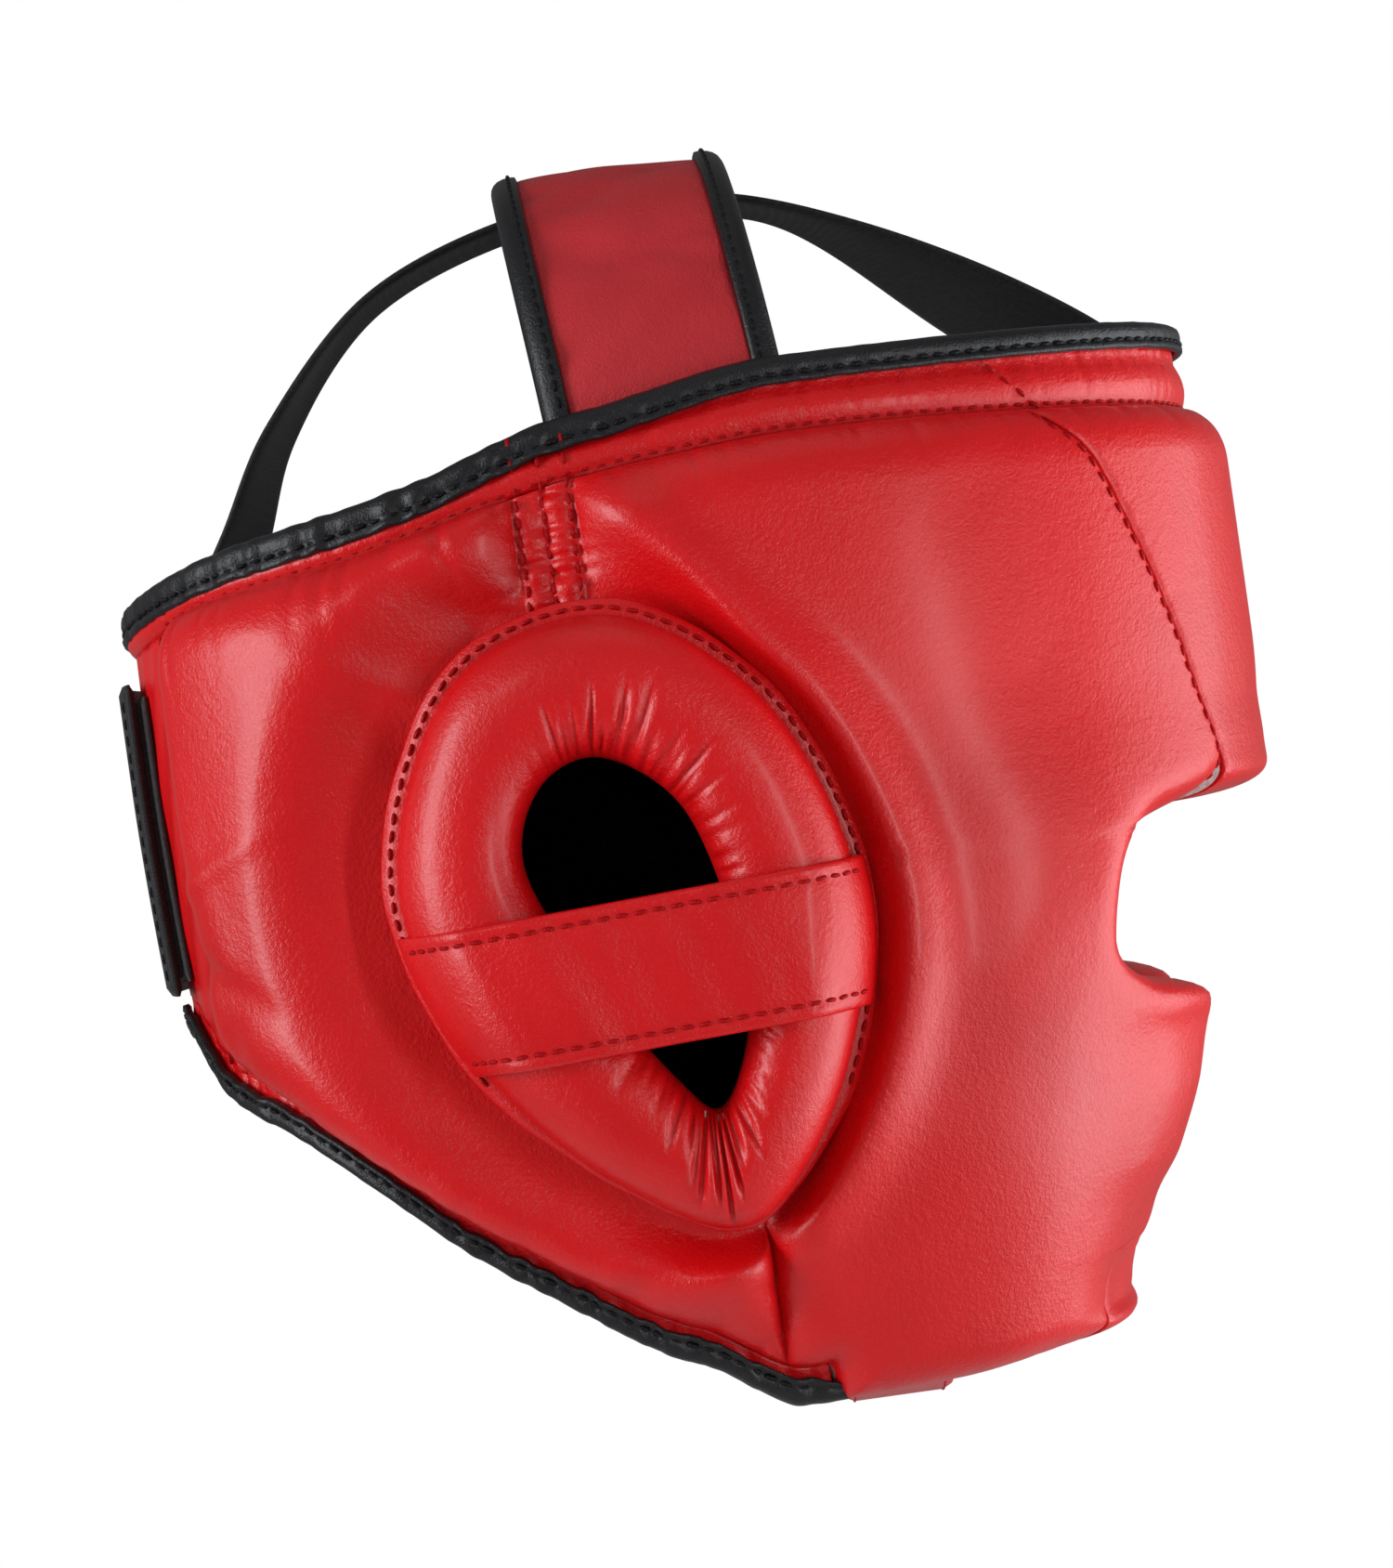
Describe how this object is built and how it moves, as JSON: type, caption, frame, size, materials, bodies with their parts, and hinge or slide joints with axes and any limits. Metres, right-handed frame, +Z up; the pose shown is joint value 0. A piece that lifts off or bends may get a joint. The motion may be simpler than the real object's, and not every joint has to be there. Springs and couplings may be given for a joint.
{
  "type": "boxing headgear",
  "caption": "Padded boxing headgear with cheek and chin pads, ear rings, crown strap, elastic strap, rear closure and under-chin strap.",
  "frame": {"origin": "midway between the centres of the two ear holes, where the wearer's ear axis crosses the middle of the head", "axes": "+Z up to the crown, -Y where the face looks, -X the wearer's right side"},
  "size_m": [0.2348, 0.2577, 0.2864],
  "materials": {
    "red_leather": "satin",
    "foam": "matte",
    "black_lining": "matte",
    "black_binding": "satin",
    "black_elastic": "matte",
    "hook_loop": "matte",
    "black_mesh": "matte"
  },
  "bodies": {
    "shell": {"forehead_cover": "red_leather", "chin_cover": "red_leather", "top_band": "red_leather", "crown_strap_cover": "red_leather", "chin_strap_anchor": "red_leather", "chin_strap_tab": "red_leather", "right_cheek_cover": "red_leather", "right_rear_cover": "red_leather", "right_rear_flap": "red_leather", "right_lower_band": "red_leather", "right_ear_ring_cover": "red_leather", "right_ear_flange": "red_leather", "right_ear_strap": "red_leather", "left_cheek_cover": "red_leather", "left_rear_cover": "red_leather", "left_rear_flap": "red_leather", "left_lower_band": "red_leather", "left_ear_ring_cover": "red_leather", "left_ear_flange": "red_leather", "left_ear_strap": "red_leather", "forehead_foam": "foam", "chin_foam": "foam", "crown_strap_foam": "foam", "right_cheek_foam": "foam", "right_rear_foam": "foam", "right_ear_ring_foam": "foam", "left_cheek_foam": "foam", "left_rear_foam": "foam", "left_ear_ring_foam": "foam", "forehead_lining": "black_lining", "chin_lining": "black_lining", "crown_strap_lining": "black_lining", "right_cheek_lining": "black_lining", "right_rear_lining": "black_lining", "left_cheek_lining": "black_lining", "left_rear_lining": "black_lining", "top_binding": "black_binding", "crown_strap_front_binding": "black_binding", "crown_strap_rear_binding": "black_binding", "right_lower_binding": "black_binding", "left_lower_binding": "black_binding", "elastic_strap": "black_elastic", "closure_anchor": "black_elastic", "closure_loop_patch": "hook_loop", "chin_strap_loop_patch": "hook_loop", "right_ear_mesh": "black_mesh", "left_ear_mesh": "black_mesh"},
    "closure": {"closure_strap": "black_elastic", "closure_hook_patch": "hook_loop"},
    "chin_closure": {"chin_strap": "red_leather", "chin_strap_hook_patch": "hook_loop"}
  },
  "joints": [
    {"name": "closure_open", "type": "hinge", "parent": "shell", "child": "closure", "pos_m": [0.04373, 0.10457, 0.031], "axis": [0, 0, -1], "range_deg": [0, 100]},
    {"name": "chin_strap_open", "type": "hinge", "parent": "shell", "child": "chin_closure", "pos_m": [0.049, -0.04, -0.1088], "axis": [0, -1, 0], "range_deg": [0, 75]}
  ]
}
